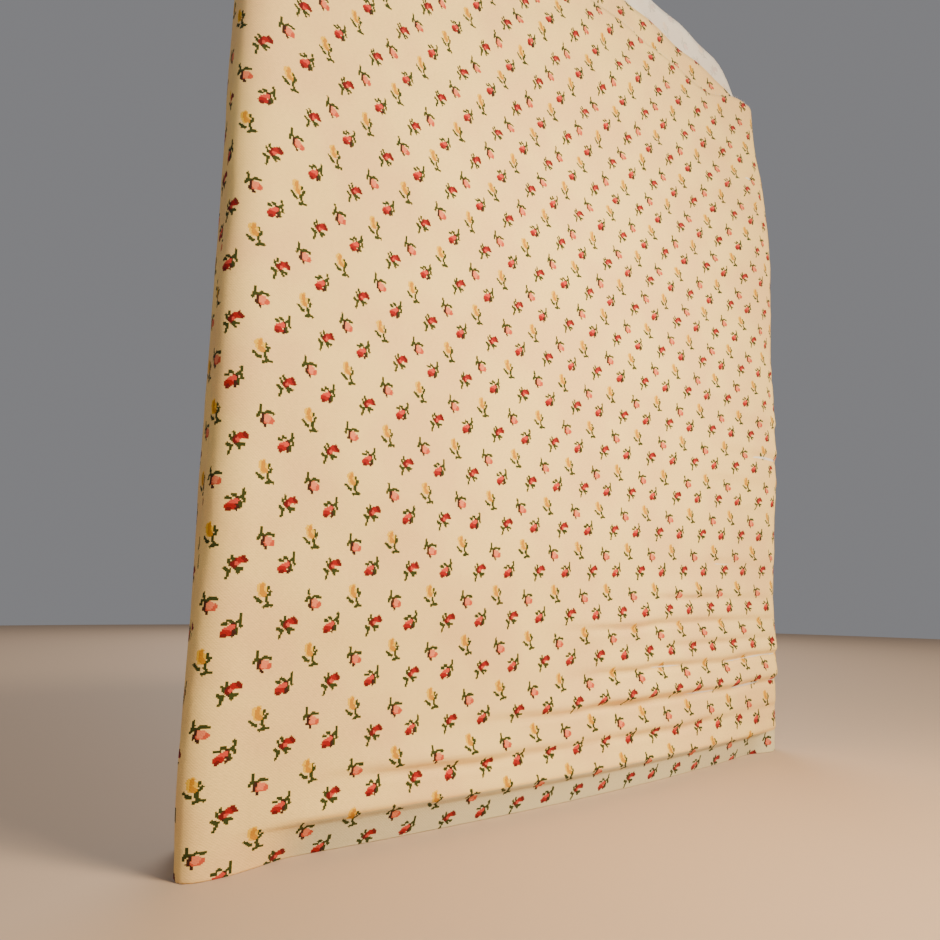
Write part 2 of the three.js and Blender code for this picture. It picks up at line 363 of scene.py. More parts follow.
def make_print_group():
    build, given, out = new_group(
        "bud_print",
        [("Cloth", "Vector", None), ("Ground", "Color", (0.8, 0.7, 0.5, 1)), ("Strength", "Float", 1.0)],
        [("Color", "Color"), ("Ink", "Float")],
    )
    stepped = build.vector("SNAP", given["Cloth"], (THREAD * MM, THREAD * MM, 1.0))
    sides = build.split(stepped)
    along = build.times(sides[0], DECIMETRES)
    up = build.times(sides[1], DECIMETRES)
    held = build.math("MINIMUM", build.math("MAXIMUM", along, 0.0), FACE_LENGTH)
    column = grid_number(build, COLUMN_DRIFT, COLUMN_PULL, along, held, up)
    row = grid_number(build, ROW_DRIFT, ROW_PULL, along, held, up)
    colour, mask = given["Ground"], 0.0
    for shift, even_bud, odd_bud in ((0.0, UPRIGHT_RED, LEANING_RED), (0.5, YELLOW, PINK)):
        place, odd = bud_place(build, column, row, shift)
        # the bud that isn't wanted is moved out of sight
        aside = build.scaled(OUT_OF_SIGHT, odd)
        colour, mask = paint(build, colour, mask, build.vector("ADD", place, aside), even_bud)
        back = build.vector("SUBTRACT", OUT_OF_SIGHT, aside)
        colour, mask = paint(build, colour, mask, build.vector("ADD", place, back), odd_bud)
    strength = build.times(mask, given["Strength"])
    build.feed(build.mix(strength, given["Ground"], colour), out.inputs["Color"])
    build.feed(strength, out.inputs["Ink"])
    return build.tree


# %% [markdown]
# ## The weave
# Cotton this fine shows its threads only as a grain, with a faint slant where the threads cross.
# Two sets of thin waves that cross give the height, and a slow noise makes some threads thicker.

# %% The weave group
SLANT_SHARE = 0.26  # how much the slanting waves count beside the crossing ones
SLUB_GRAIN = (900.0, 2600.0, 1.0)  # thick places are longer along the cloth than up it
SLUB_GAIN = 4.0


def make_weave_group():
    build, given, out = new_group(
        "fine_weave",
        [
            ("Cloth", "Vector", None), ("Thread", "Float", THREAD),
            ("Slant", "Float", 0.42), ("Slub", "Float", 0.62),
        ],
        [("Height", "Float")],
    )
    sides = build.split(given["Cloth"])
    turns = build.math("DIVIDE", 2 * math.pi / MM, given["Thread"])
    x = build.times(sides[0], turns)
    y = build.times(sides[1], turns)
    cross = build.times(build.math("SINE", x), build.math("SINE", y))
    slant = build.math("SINE", build.times(build.plus(x, y), given["Slant"]))
    threads = build.times_plus(slant, SLANT_SHARE, cross)
    stretched = build.vector("MULTIPLY", given["Cloth"], SLUB_GRAIN)
    uneven = build.minus(build.noise(stretched, 1.0, 2.0), 0.5)
    gain = build.times(given["Slub"], SLUB_GAIN)
    height = build.times_plus(uneven, gain, threads)
    build.feed(height, out.inputs["Height"])
    return build.tree


PRINT_GROUP = make_print_group()
WEAVE_GROUP = make_weave_group()
print(len(PRINT_GROUP.nodes), "nodes in the print,", len(WEAVE_GROUP.nodes), "in the weave")


# %% [markdown]
# ## Cloth finishes
# The right side is cream, warmer in some patches than in others, and carries the print at full
# strength. The strip under the crease at the foot is painted greyer, as painted shade, since it faces
# down. The wrong side is paler, and the print shows through it as a grey ghost. Both read the cloth's
# own map, which is in metres along and up the cloth, so the print follows every fold.

# %% Cloth materials
TONE_OF_WEAVE = 0.12
CREAM, WARM_CREAM = rgba(242, 206, 128), rgba(236, 194, 126)
CHALK, WARM_CHALK = rgba(226, 218, 206), rgba(214, 200, 188)
# painted shade: the grey of the downward-facing strip under the crease at the foot
FOOT_SHADE_GREY = rgba(204, 196, 160)
FOOT_SHADE_TOP, FOOT_SHADE_RISE = 1.4 * MM, 0.0436  # top of the painted shade strip on the map, and its slope
FOOT_SHADE_EDGE = (-0.3 * MM, 0.5 * MM)  # from unshaded to full painted shade, measured down from the top of the strip
# where the painted shade fades in and out along the front
FOOT_SHADE_START, FOOT_SHADE_END = (4 * MM, 22 * MM), (272 * MM, 290 * MM)
PATCH_SCALE, PATCH_EDGE = 28.0, (0.40, 0.62)
CLOTH_ROUGHNESS, INK_ROUGHER = 0.84, 0.06
WEAVE_DEPTH = 0.08 * MM


def smooth_range(build, value, low, high, top=1.0):
    """0 where value is under low, `top` where it is over high."""
    limits = {0: value, 1: low, 2: high, 4: top}
    return build.add("ShaderNodeMapRange", limits, interpolation_type="SMOOTHSTEP").outputs[0]


def painted_foot_shade(build, cloth, amount):
    """How much painted shade a place gets: only under the crease, and only along the front."""
    sides = build.split(cloth)
    strip_top = build.times_plus(sides[0], FOOT_SHADE_RISE, FOOT_SHADE_TOP)
    under = smooth_range(build, build.minus(strip_top, sides[1]), *FOOT_SHADE_EDGE, amount)
    begun = smooth_range(build, sides[0], *FOOT_SHADE_START)
    ended = smooth_range(build, sides[0], *FOOT_SHADE_END)
    along_front = build.minus(begun, ended)
    return build.times(under, along_front)


def cloth_material(name, ground, warmer, strength, wash, sheen, foot_shade_amount):
    """Cloth whose print has this strength and is washed over with the ground colour."""
    material, build, shader = new_material(name)
    cloth = build.add("ShaderNodeUVMap", uv_map="cloth").outputs[0]
    patch = smooth_range(build, build.noise(cloth, PATCH_SCALE, 3.0), *PATCH_EDGE)
    base = build.mix(patch, ground, warmer)
    # the strip under the crease at the foot is painted grey, as painted shade
    base = build.mix(painted_foot_shade(build, cloth, foot_shade_amount), base, FOOT_SHADE_GREY)
    printed = build.add("ShaderNodeGroup", node_tree=PRINT_GROUP)
    build.feed(cloth, printed.inputs["Cloth"])
    build.feed(base, printed.inputs["Ground"])
    printed.inputs["Strength"].default_value = strength
    weave = build.add("ShaderNodeGroup", node_tree=WEAVE_GROUP)
    build.feed(cloth, weave.inputs["Cloth"])
    shade = build.times_plus(weave.outputs["Height"], TONE_OF_WEAVE, 1.0)
    toned = build.scaled(printed.outputs["Color"], shade)
    washed = build.mix(wash, toned, ground)
    build.feed(washed, shader.inputs["Base Color"])
    rough = build.times_plus(printed.outputs["Ink"], INK_ROUGHER, CLOTH_ROUGHNESS)
    build.feed(rough, shader.inputs["Roughness"])
    build.feed(build.bump(weave.outputs["Height"], 0.5, WEAVE_DEPTH), shader.inputs["Normal"])
    shader.inputs["Sheen Weight"].default_value = sheen
    shader.inputs["Sheen Roughness"].default_value = 0.5
    shader.inputs["Specular IOR Level"].default_value = 0.25
    return material


# the last value is how strong the painted shade on the foot strip is
PRINTED = cloth_material("printed_cloth", CREAM, WARM_CREAM, 1.0, 0.0, 0.03, 0.85)
REVERSE = cloth_material("cloth_reverse", CHALK, WARM_CHALK, 0.35, 0.35, 0.15, 0.0)


# %% [markdown]
# ## Paperboard, paper and pins
# The core is plain brown board: fibres and specks, and a soft sheen. The pins are nickel plated
# wire with fine drawing marks.

# %% The other materials
def speckle_material(name, light, dark, scale, roughness, bump_depth):
    """Fibrous board or paper, mottled between two colours."""
    material, build, shader = new_material(name)
    place = build.add("ShaderNodeTexCoord").outputs["Object"]
    fibres = build.vector("MULTIPLY", place, (1.0, 1.0, 0.35))
    clouds = build.noise(place, scale / 12, 4.0)
    grain = build.noise(fibres, scale, 6.0)
    amount = build.times_plus(grain, 0.7, build.times(clouds, 0.5))
    amount = build.minus(amount, 0.1, clamp=True)
    build.feed(build.mix(amount, dark, light), shader.inputs["Base Color"])
    rough = build.times_plus(grain, 0.15, roughness - 0.07)
    build.feed(rough, shader.inputs["Roughness"])
    build.feed(build.bump(grain, 0.4, bump_depth), shader.inputs["Normal"])
    return material


def wire_material(name):
    """Drawn wire, with marks along its length."""
    material, build, shader = new_material(name)
    place = build.add("ShaderNodeTexCoord").outputs["Object"]
    drawn = build.vector("MULTIPLY", place, (300.0, 9000.0, 9000.0))
    marks = build.noise(drawn, 1.0, 3.0)
    tone = build.mix(marks, rgba(176, 176, 172), rgba(222, 222, 220))
    build.feed(tone, shader.inputs["Base Color"])
    rough = build.times_plus(marks, 0.2, 0.16)
    build.feed(rough, shader.inputs["Roughness"])
    shader.inputs["Metallic"].default_value = 1.0
    return material


PAPERBOARD = speckle_material("paperboard", rgba(196, 168, 130), rgba(140, 112, 80), 900.0, 0.85, 0.05 * MM)
INSERT = speckle_material("insert_board", rgba(182, 152, 114), rgba(126, 100, 72), 900.0, 0.9, 0.05 * MM)
LABEL = speckle_material("label_paper", rgba(244, 242, 236), rgba(226, 222, 212), 1500.0, 0.6, 0.01 * MM)
TAPE = speckle_material("tape_paper", rgba(220, 200, 158), rgba(190, 166, 122), 1200.0, 0.5, 0.02 * MM)
WIRE = wire_material("pin_steel")

NODE_FINISHES = {
    "core_tube": PAPERBOARD, "core_stiffener": INSERT, "end_label": LABEL,
    "start_tape_top": TAPE, "start_tape_middle": TAPE, "start_tape_bottom": TAPE,
}
for end in ("top", "bottom"):
    for flap in (f"closure_flap_{end}", f"tuck_tongue_{end}"):
        NODE_FINISHES[flap] = PAPERBOARD
    for side in ("left", "right"):
        NODE_FINISHES[f"dust_flap_{end}_{side}"] = PAPERBOARD
for end in ("top", "middle", "bottom"):
    NODE_FINISHES[f"tail_pin_{end}"] = WIRE


def finish_node(node, material):
    """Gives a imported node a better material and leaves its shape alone."""
    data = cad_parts[node].data
    data.materials.clear()
    data.materials.append(material)


for node, material in NODE_FINISHES.items():
    finish_node(node, material)
print(len(NODE_FINISHES), "packed nodes finished")


# %% [markdown]
# ## The path of the outer turn
# Seen from above, a turn of cloth runs along the front, round the right fold, along the back and
# round the left fold. Distance along the cloth starts at 0 where the front begins at the left.
# `path_point` turns that distance into a place and an outward direction.

# %% The path of a turn
half_width = float(outer_high[0])
half_depth = float(outer_high[1] - outer_low[1]) / 2
middle_y = float(outer_high[1] + outer_low[1]) / 2
FOLD_FLAT = 1.15 * MM  # half of the flat left in the middle of a fold
fold_radius = half_depth - FOLD_FLAT
face = 2 * (half_width - fold_radius)
fold = math.pi * fold_radius + 2 * FOLD_FLAT
lap = 2 * (face + fold)


def path_point(distance):
    """Place (x, y) and outward direction (x, y) for distances along the turn, as arrays."""
    distance = np.asarray(distance, float)
    around = np.mod(distance, lap)
    second_half = around >= face + fold
    along = np.where(second_half, around - face - fold, around)
    quarter = math.pi / 2 * fold_radius
    first = np.clip((along - face) / fold_radius, 0, math.pi / 2)
    flat = np.clip(along - face - quarter, 0, 2 * FOLD_FLAT)
    rest = np.clip((along - face - quarter - 2 * FOLD_FLAT) / fold_radius, 0, math.pi / 2)
    angle = first + rest
    x = -face / 2 + np.minimum(along, face) + fold_radius * np.sin(angle)
    y = -FOLD_FLAT - fold_radius * np.cos(angle) + flat
    normal = np.stack([np.sin(angle), -np.cos(angle)], -1)
    sign = np.where(second_half, -1.0, 1.0)
    place = np.stack([x * sign, y * sign + middle_y], -1)
    return place, normal * sign[:, None]


print("a lap is", round(lap, 4), "m long; face", round(face, 4), "fold", round(fold, 4))


# %% [markdown]
# ## How the whole bolt has settled
# The turns are pressed on the board inside and are looser outside. So the outer layers bulge on the
# front, the left fold has been squeezed, and the right fold leans out towards the top, where the
# cloth was wound slackest. The folded foot has been pushed under. All of that moves every layer, more
# the further out it is, so it is written once, as a change of space.

# %% Settling
BOARD_HALF_DEPTH = float(board_high[1] - board_low[1]) / 2 / MM
BOARD_HALF_WIDTH = float(board_high[0]) / MM
LAYERS = half_depth / MM - BOARD_HALF_DEPTH  # all the cloth on one side of the board
FACE_HALF = face / 2 / MM
LOOSEST = 235.0  # height at which the right fold leans out furthest
# the right fold, in millimetres: out at LOOSEST, in at the foot, and back again near the top
LEAN_OUT, LEAN_IN, LEAN_BACK = 19.0, 5.0, 10.5
LEAN_POWER, LEAN_TOP, LEAN_REACH = 1.45, (275, 335), (60, 146)
CREASE_HEIGHT, CREASE_DIP, CREASE_SPREAD = 10.0, 1.0, 1.5
SQUARE_ALL, SQUARE_FOOT, SQUARE_FADE = 0.5, 2.8, 22  # how much squarer than round the left fold is
BULGE, FOOT_BULGE, BULGE_FADE = 3.0, 4.5, 28
TUCK_STEP, TUCK_SLOPE = 1.0, 0.45  # the foot steps back under the crease, then slopes back
# the left fold: its back half is pushed in, its front half pulled out, most of all near the foot
PUSHED_IN, FOOT_PUSHED_IN, PUSH_FADE = 3.6, 1.5, 12
PULLED_OUT, LEFT_SQUEEZE = 2.1, (118, 146)
FOOT_PULL, FOOT_PULL_HEIGHT, FOOT_PULL_SIZE = 1.7, 32, 30
WAIST, WAIST_HEIGHT, WAIST_SIZE = 1.0, 112, 35


def ramp(value, low, high):
    """0 below low, 1 above high, smooth between."""
    share = np.clip((value - low) / (high - low), 0, 1)
    return share * share * (3 - 2 * share)


def hump(value, middle, size):
    """1 at the middle, falling smoothly to 0 over about twice `size`."""
    return np.exp(-((value - middle) / size) ** 2)


def looseness(x, depth):
    """0 at the board, 1 at the outer turn."""
    past_face = np.clip(np.abs(depth) - BOARD_HALF_DEPTH, 0, None)
    past_side = np.clip(np.abs(x) - BOARD_HALF_WIDTH, 0, None)
    return np.clip(np.hypot(past_face, past_side) / LAYERS, 0, 1.2)


def right_lean(x, z):
    """How far a place near the right fold has moved out, in millimetres."""
    climb = 1 - np.clip(1 - z / LOOSEST, 0, 1) ** LEAN_POWER
    return (LEAN_OUT * climb - LEAN_IN - LEAN_BACK * ramp(z, *LEAN_TOP)) * ramp(x, *LEAN_REACH)


def crease_height(x):
    """Height of the crease over the pushed-in foot, in millimetres."""
    return CREASE_HEIGHT - CREASE_DIP * np.cos(x / FACE_HALF * CREASE_SPREAD)


def squared(x, depth, z, share):
    """Places round the left fold pushed out towards a squarer corner, most of all at the foot."""
    out = np.clip(-x - FACE_HALF, 0, None)
    forward = np.clip(np.abs(depth) - FOLD_FLAT / MM, 0, None)
    reach = np.maximum(np.hypot(out, forward), 1e-6)
    power = 2 + share * (SQUARE_ALL + SQUARE_FOOT * np.exp(-z / SQUARE_FADE))
    stretch = ((out / reach) ** power + (forward / reach) ** power) ** (-1 / power)
    stretch = np.where((out > 0) & (depth < 0), stretch, 1.0)
    moved_depth = np.sign(depth) * (FOLD_FLAT / MM + forward * stretch)
    new_depth = np.where(forward > 0, moved_depth, depth)
    return np.where(out > 0, -FACE_HALF - out * stretch, x), new_depth


def left_squeeze(x, depth, z):
    """How far a place near the left fold has moved to the right, in millimetres."""
    behind = ramp(depth, -15, 0)
    pushed_in = PUSHED_IN + FOOT_PUSHED_IN * np.exp(-z / PUSH_FADE)
    foot_pull = FOOT_PULL * hump(z, FOOT_PULL_HEIGHT, FOOT_PULL_SIZE) * ramp(z, -5, 18)
    pulled_out = PULLED_OUT + foot_pull - WAIST * hump(z, WAIST_HEIGHT, WAIST_SIZE)
    shift = pushed_in * behind - pulled_out * (1 - behind)
    return shift * ramp(-x, *LEFT_SQUEEZE)


def settle(points):
    """Points of any layer, in metres, moved as the whole bolt has settled."""
    x, depth, z = points[..., 0] / MM, (points[..., 1] - middle_y) / MM, points[..., 2] / MM
    loose = looseness(x, depth)
    on_front = ramp(-depth, -2, 7)
    across = 1 - np.clip(np.abs(x) / FACE_HALF, 0, 1) ** 2
    bulge = (BULGE + FOOT_BULGE * np.exp(-z / BULGE_FADE)) * across
    between_folds = ramp(FACE_HALF - np.abs(x), -4, 16)
    below = np.clip(crease_height(x) - z, 0, None)
    tuck = (TUCK_STEP * ramp(below, 0, 1.0) + TUCK_SLOPE * below) * between_folds
    squeeze = left_squeeze(x, depth, z)
    x, depth = squared(x, depth, z, loose * on_front)
    moved = np.array(points)
    moved[..., 0], moved[..., 1] = x * MM, depth * MM + middle_y
    moved[..., 0] += (right_lean(x, z) + squeeze) * loose * MM
    moved[..., 1] += (tuck - bulge) * loose * on_front * MM
    return moved


SEAM = face + fold / 2  # the middle of the right fold, where the tail takes over
FOLD_AT = FACE_HALF + fold_radius / MM  # x of the outer turn at the right fold
# the foot of the cloth is drawn under: how far, fading over what height, and to nothing at what length
DRAWN, DRAWN_FADE, DRAWN_END = 5.6 * MM, 40, 2


def taken_up(along, up):
    """Extra cloth, in metres, that the leaning right fold takes up by a place along the turn."""
    s, z = along / MM, up / MM
    x = np.where(s < face / MM, s - FACE_HALF, FOLD_AT)
    x = np.where(s > (face + fold) / MM, FACE_HALF - (s - (face + fold) / MM), x)
    lean = right_lean(x, z)
    return np.where(s < SEAM / MM, lean, 2 * right_lean(FOLD_AT, z) - lean) * MM


def cloth_map(along, up):
    """The cloth's own map, in metres: the foot is drawn under, most of all at the left."""
    held = np.clip(along / MM / 100, 0, FACE_LENGTH)
    drawn = DRAWN * np.exp(-np.clip(up, 0, None) / MM / DRAWN_FADE) * (DRAWN_END - held)
    return np.stack([along + taken_up(along, up), up - drawn], -1)


print("the right fold leans out", round(float(right_lean(146.0, LOOSEST)), 1), "mm")

# %% [markdown]
# ## How the outer cloth lies
# On top of that the outer cloth is ruckled. Level ripples hang over each other like small steps, with
# a slow upper slope and a steep underside, and they are strongest near the foot and on the right. One
# old storage crease stands upright, and a few slanting drags cross the upper part. A cloth simulation
# could find such shapes, but these have to sit where they do, so each one is a small formula.

# %% Ripples, creases and drags
# each ripple: height of its underside, where it starts and ends along the front, depth (all mm)
RIPPLES = [
    (20, 12, 272, 1.25), (32, 60, 274, 1.45), (44, 105, 272, 1.00), (52, 150, 266, 0.70),
    (61, 100, 268, 1.00), (71, 150, 270, 0.75), (86, 175, 270, 0.50), (112, 205, 274, 0.55),
    (126, 185, 274, 0.60), (141, 200, 274, 0.65), (158, 212, 274, 0.50), (186, 225, 274, 0.45),
    (283, 212, 268, 0.60), (297, 200, 264, 0.60), (311, 222, 264, 0.45),
]


RIPPLE_GAIN = 1.25
LIP, LIP_RISE = 0.7, 1.3  # a lip hangs over the crease: how far, and how high its middle is
DIMPLES, SHOULDERS = 0.30, 0.85
OLD_CREASE, OLD_CREASE_AT, OLD_CREASE_LEAN = 0.34, 65, 0.015
DRAG_DEPTH, DRAG_PITCH, DRAG_SLOPE = 0.38, 23, 0.62


def slow_noise(place, seed, size):
    """A smooth, seeded field of about -1 to 1 that changes over `size`, at places in millimetres."""
    dice = np.random.default_rng(seed)
    total = np.zeros(place.shape[:-1])
    for octave in range(3):
        for _ in range(5):
            heading = dice.normal(size=3) * (1.0, 2.0, 1.0)
            pitch = size * 2.0 ** -octave * dice.uniform(0.8, 1.3)
            phase = dice.uniform(0, 2 * math.pi)
            wave = place @ (heading / np.linalg.norm(heading)) * 2 * math.pi / pitch + phase
            total = total + np.sin(wave) * 0.5 ** octave
    return total / 4.5


def lopsided(value, below, above):
    """1 at 0, falling over `below` on one side and over `above` on the other."""
    return np.exp(-(value / np.where(value < 0, below, above)) ** 2)


def step(height, underside):
    """One hanging ripple: a groove, a steep rise over it, then a slow slope back."""
    rise = height - underside
    return -0.7 * hump(rise, 0, 1.1) + lopsided(rise - 3.0, 1.5, 4.6)


def lie(along, up, place):
    """How far the outer cloth stands out from its path, in metres."""
    s, z = along / MM, up / MM
    spot = place / MM
    wander = slow_noise(spot, 3, 150)
    over_crease = z - crease_height(s - FACE_HALF) - LIP_RISE
    lip = LIP * lopsided(over_crease, 0.8, 4.0)
    lip = lip * ramp(s, 2, 20) * (1 - ramp(s, 262, 276))
    total = lip + DIMPLES * slow_noise(spot, 8, 34) * ramp(z, 14, 40)
    for underside, start, end, depth in RIPPLES:
        held = ramp(s, start, start + 45) * (1 - ramp(s, end - 12, end))
        uneven = 0.75 + 0.5 * slow_noise(spot + underside, 5, 90)
        total = total + RIPPLE_GAIN * depth * held * uneven * step(z + 3.2 * wander, underside)
    front_face = ramp(s, 18, 60) * (1 - ramp(s, 225, 250))
    crease_at = OLD_CREASE_AT + OLD_CREASE_LEAN * (z - 200)
    old_crease = OLD_CREASE * hump(s, crease_at, 0.8) * ramp(z, 130, 165)
    slant = z - DRAG_SLOPE * s + 5 * wander
    drags = DRAG_DEPTH * np.sin(2 * np.pi * slant / DRAG_PITCH) * ramp(z, 150, 230) * front_face
    on_bolt = ramp(z, 12, 60) * ramp(s, -70, 10) * (1 - ramp(s, 268, 300))
    shoulder = SHOULDERS * slow_noise(spot, 9, 95) * on_bolt
    return (total + old_crease + drags + shoulder) * MM


# %% [markdown]
# ## Sheets of cloth
# Each ply is a grid of points along and up the cloth, set out from the path. Solidify then gives it
# a thread's thickness with the printed side out and the wrong side in. The folded edge at the foot
# curls under and up again inside, so that no raw edge shows there.

# %% Making a sheet
PLY = 0.28 * MM


def make_sheet(name, points, cloth, outside, inside):
    """A cloth grid from points (n, m, 3) and the cloth map (n, m, 2), given its thickness."""
    count_along, count_up = points.shape[:2]
    mesh = bpy.data.meshes.new(name)
    index = np.arange(count_along * count_up).reshape(count_along, count_up)
    corners = [index[:-1, :-1], index[1:, :-1], index[1:, 1:], index[:-1, 1:]]
    mesh.from_pydata(points.reshape(-1, 3), [], np.stack(corners, -1).reshape(-1, 4).tolist())
    layer = mesh.uv_layers.new(name="cloth")
    corner = np.empty(len(mesh.loops), np.int32)
    mesh.loops.foreach_get("vertex_index", corner)
    layer.data.foreach_set("uv", cloth.reshape(-1, 2)[corner].astype(np.float32).ravel())
    mesh.polygons.foreach_set("use_smooth", np.ones(len(mesh.polygons), bool))
    return thicken(name, mesh, outside, inside)


def thicken(name, mesh, outside, inside):
    """An object for a cloth mesh, with the ply's thickness on its inner side."""
    mesh.materials.clear()
    mesh.materials.append(outside)
    mesh.materials.append(inside)
    piece = link(bpy.data.objects.new(name, mesh))
    wall = piece.modifiers.new("ply", "SOLIDIFY")
    wall.thickness, wall.offset = PLY, -1.0
    wall.material_offset, wall.material_offset_rim = 1, 1
    return piece


def steps(*stretches):
    """Values from stretches of (start, end, step), each joined to the next."""
    parts = [np.linspace(a, b, max(2, round(abs(b - a) / gap) + 1))[:-1] for a, b, gap in stretches]
    return np.append(np.concatenate(parts), stretches[-1][1])


def stand(along, heights, offset, ruckled=1.0):
    """Points (n, m, 3) of a ply at heights (n, m), `offset` (n,) out from the path, and normals."""
    place, normal = path_point(along)
    points = np.empty(heights.shape + (3,))
    points[..., :2] = place[:, None]
    points[..., 2] = heights
    out = lie(along[:, None], heights, points) * ruckled + np.asarray(offset)[:, None]
    points[..., 0] += normal[:, None, 0] * out
    points[..., 1] += normal[:, None, 1] * out
    return settle(points), normal


# %% [markdown]
# ## The outer turn
# This is the cloth that the front shows. It starts on the back, under the tail, goes round the left
# fold, across the front and half round the right fold, where the tail takes over.

# %% The outer turn, printed ply
TURN_START = -(fold + face + 0.016)  # on the back, just short of the right fold
HAIRPIN = 0.45 * MM
TOP_OF_FRONT, TOP_OF_CORNER = 328.6, 341.5


def outer_top(along):
    """Height of the raw upper edge of the outer turn."""
    s = along / MM
    rise = (TOP_OF_CORNER - TOP_OF_FRONT) * ramp(s, 216, 256) - 4.0 * ramp(s, 262, 278)
    return (TOP_OF_FRONT + rise + 0.6 * np.sin(s / 37.0) + 0.25 * np.sin(s / 5.3)) * MM


def printed_ply(name, along, rows, top, offset):
    """An outer ply at full height, its foot curled under and a little way up again inside."""
    heights = HAIRPIN + rows[None, :] * (top[:, None] - HAIRPIN)
    points, normal = stand(along, heights, offset)
    curl = np.radians([30, 60, 90, 135, 180])
    foot, _ = stand(along, np.full((len(along), 1), HAIRPIN), offset)
    under = np.repeat(foot, len(curl) + 1, axis=1)
    depth = HAIRPIN * np.append(1 - np.cos(curl), 2.0)
    under[..., 0] -= normal[:, None, 0] * depth
    under[..., 1] -= normal[:, None, 1] * depth
    under[..., 2] -= HAIRPIN * np.append(np.sin(curl), -8.0)
    points = np.concatenate([under[:, ::-1], points], 1)
    below = HAIRPIN * (1 - np.append(curl, 12.0)[::-1])
    up_map = np.concatenate([np.repeat(below[None], len(along), 0), heights], 1)
    along_map = np.repeat(along[:, None], up_map.shape[1], 1)
    return make_sheet(name, points, cloth_map(along_map, up_map), PRINTED, REVERSE)


def plain_ply(name, along, rows, top, offset, outside, inside, ruckled=1.0):
    """A ply with a raw upper edge, its foot hidden between its neighbours."""
    base = 4 * HAIRPIN
    heights = base + rows[None, :] * (top[:, None] - base)
    points, _ = stand(along, heights, offset, ruckled)
    along_map = np.repeat(along[:, None], heights.shape[1], 1)
    return make_sheet(name, points, cloth_map(along_map, heights), outside, inside)


def under_tail(along):
    """The start of the turn dips below the tail's root."""
    return -0.9 * MM * (1 - ramp(along, TURN_START, TURN_START + 0.018))


fine_rows = steps((0, 0.046, 0.0020), (0.046, 0.245, 0.0036), (0.245, 1.0, 0.0066))
fine_columns = steps(
    (TURN_START, -fold, 5 * MM), (-fold, 0, 2 * MM), (0, face, 2.05 * MM), (face, SEAM, 1.5 * MM)
)
outer_turn = printed_ply(
    "outer_turn_cloth", fine_columns, fine_rows, outer_top(fine_columns), under_tail(fine_columns)
)
print("outer turn:", len(outer_turn.data.polygons), "faces")

# %% The outer turn, inner ply
BETWEEN_PLIES = 0.7 * MM
SHORTER = 1.6 * MM  # the inner ply's edge sits this much lower
coarse_rows = steps((0, 0.25, 0.009), (0.25, 1.0, 0.02))
coarse_columns = steps(
    (TURN_START, -fold, 8 * MM), (-fold, 0, 3.5 * MM), (0, face, 4 * MM), (face, SEAM, 2.5 * MM)
)
outer_lining = plain_ply(
    "outer_turn_lining", coarse_columns, coarse_rows, outer_top(coarse_columns) - SHORTER,
    under_tail(coarse_columns) - BETWEEN_PLIES, REVERSE, PRINTED,
)

# %% [markdown]
# ## The tail
# The last stretch of cloth leaves the middle of the right fold, lies along the back over the turn
# below, and ends in a cut edge. It is one piece of cloth with the front, so its points carry on in
# the same distances and its edge meets the outer turn point for point.

# %% The tail
tail_edge = face + fold + (face / 2 - float(tail_low[0]))
TAIL_LIFT = float(tail_high[1] - outer_high[1])


def tail_climb(along):
    """The tail climbs on to the layer below it."""
    return TAIL_LIFT * ramp(along, SEAM, SEAM + fold / 2)


def tail_top(along):
    seam_top = outer_top(np.array([SEAM]))[0]
    return seam_top + 0.5 * MM * np.sin((along - SEAM) / MM / 29)


tail_columns = steps((SEAM, face + fold, 1.5 * MM), (face + fold, tail_edge, 2.6 * MM))
tail = printed_ply("tail_cloth", tail_columns, fine_rows, tail_top(tail_columns), tail_climb(tail_columns))
lining_columns = steps((SEAM, face + fold, 3 * MM), (face + fold, tail_edge - 1.5 * MM, 5 * MM))
tail_lining = plain_ply(
    "tail_lining", lining_columns, coarse_rows, tail_top(lining_columns) - SHORTER,
    tail_climb(lining_columns) - BETWEEN_PLIES, REVERSE, PRINTED,
)
print("tail ends", round((tail_edge - SEAM) / MM), "mm of cloth past the right fold")

# %% [markdown]
# ## The second turn
# The plies of the turn below weren't folded edge to edge, so they stand above the outer one: first
# the printed ply, then the wrong side of the ply behind it. Both drop away in a round corner just
# before the right fold, where the cloth was cut from a narrower end.

# %% The second turn
SECOND_DEPTH = 1.4 * MM
SECOND_GAP = 0.7 * MM
BEHIND_CORNER = 337.0
CORNER_REACH, BACK_REACH = 30, 60  # how long the round corner is, and the rise again on the back
SECOND_START = -0.3 * face  # on the back, just past the left fold
PRINTED_PROUD, PRINTED_CORNER = 344.0, 254.0
REVERSE_PROUD, REVERSE_CORNER = 358.0, 252.0


def second_top(along, proud, corner):
    """Upper edge of a ply: proud on the front, falling in a round corner that ends at `corner`."""
    s = np.mod(along - SECOND_START, lap) / MM + SECOND_START / MM
    turning = np.clip((s - corner + CORNER_REACH) / CORNER_REACH, 0, 1)
    fall = 1 - np.sqrt(1 - turning ** 2)
    back = ramp(s, (face + fold) / MM, (face + fold) / MM + BACK_REACH)
    waves = 0.5 * np.sin(s / 23.0 + corner)
    return (proud + waves - (proud - BEHIND_CORNER) * fall * (1 - back)) * MM


